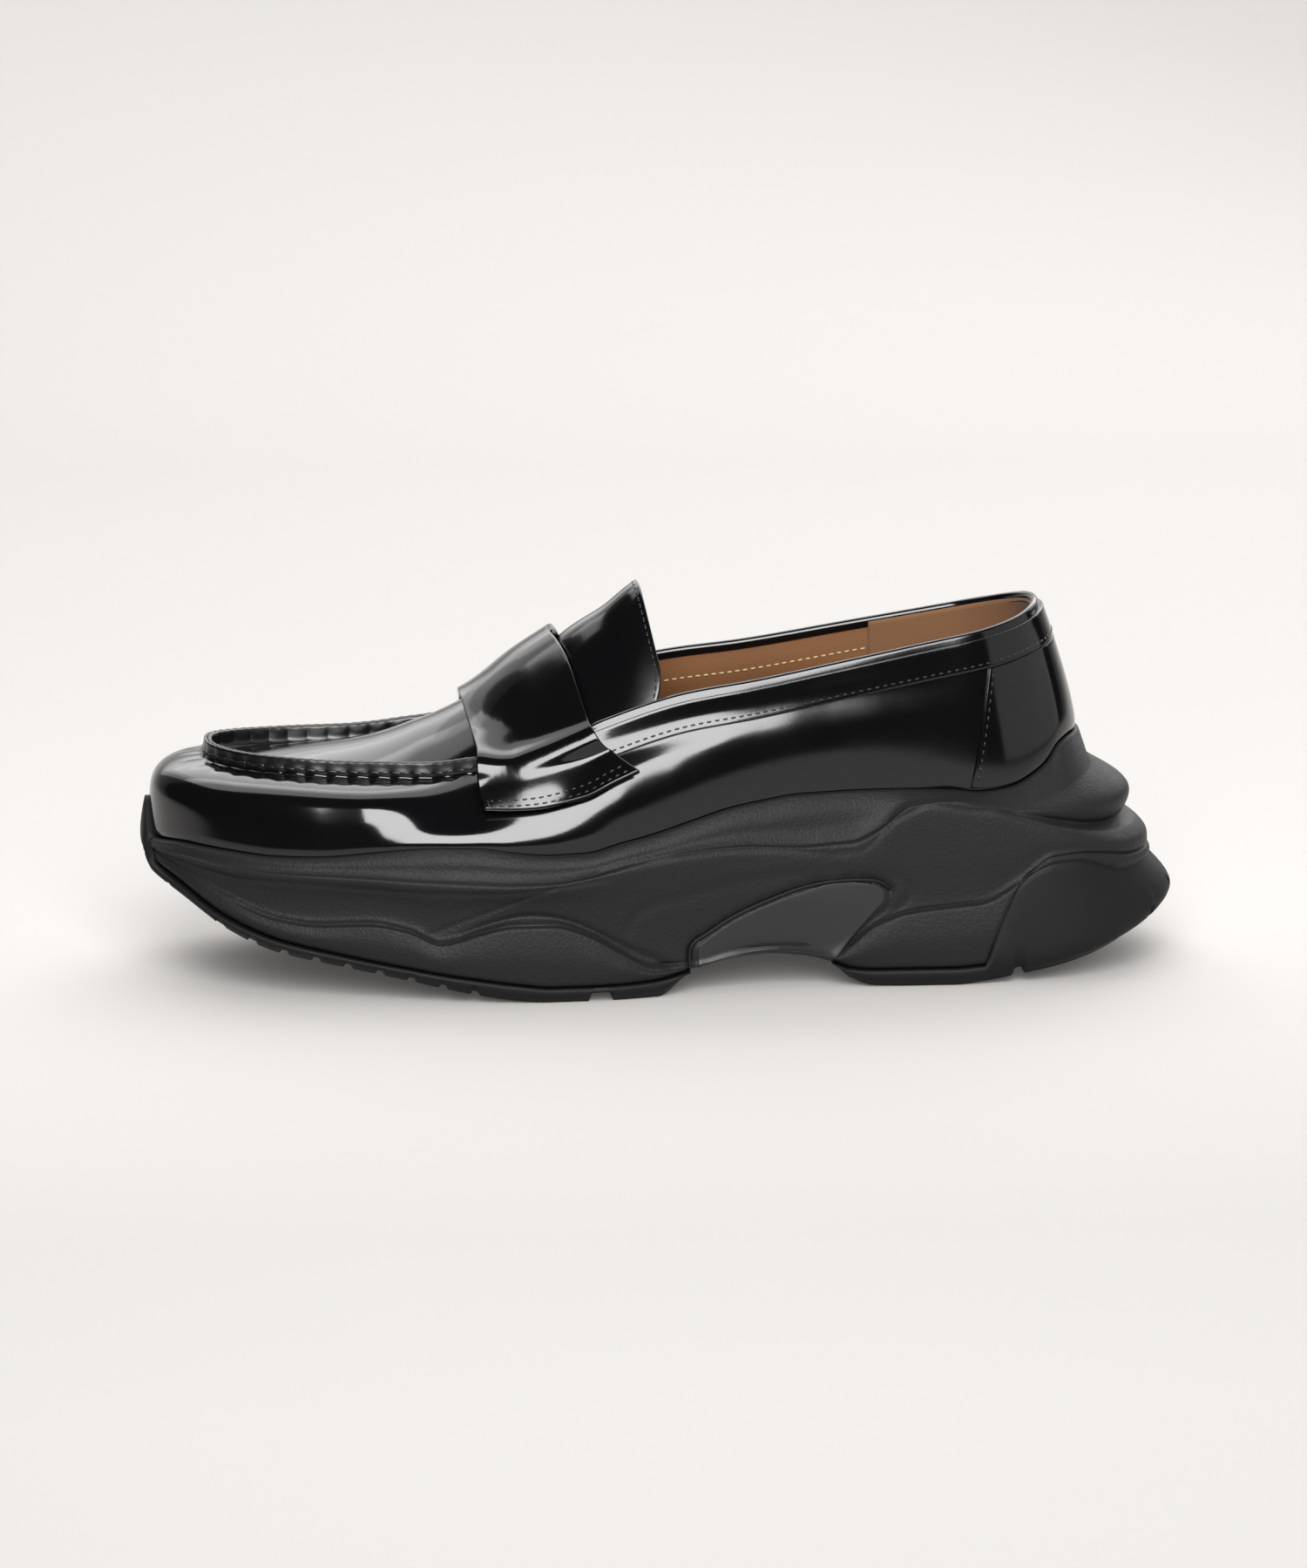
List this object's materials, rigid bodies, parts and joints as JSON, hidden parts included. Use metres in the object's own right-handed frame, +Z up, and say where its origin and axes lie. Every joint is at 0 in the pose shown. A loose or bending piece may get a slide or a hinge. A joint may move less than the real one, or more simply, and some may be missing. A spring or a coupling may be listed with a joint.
{
  "type": "chunky lug sole loafer",
  "caption": "Slip-on leather loafer with a raised moc-toe seam, a plain strap over the instep and a thick sculpted lug sole that curves up at toe and heel.",
  "frame": {"origin": "centre of the bounding box at the floor", "axes": "+X from toe to heel, +Y towards the medial side, +Z up"},
  "size_m": [0.32, 0.1138, 0.1202],
  "materials": {
    "polished_leather": "high gloss",
    "tan_lining": "matte",
    "midsole_foam": "matte, fine grain",
    "shank_plastic": "satin",
    "outsole_rubber": "matte"
  },
  "bodies": {
    "root": {"upper": "polished_leather", "strap": "polished_leather", "tongue": "polished_leather", "heel_counter": "polished_leather", "topline_band": "polished_leather", "insole": "tan_lining", "midsole": "midsole_foam", "shank_plate": "shank_plastic", "outsole_front": "outsole_rubber", "outsole_heel": "outsole_rubber"}
  },
  "joints": []
}
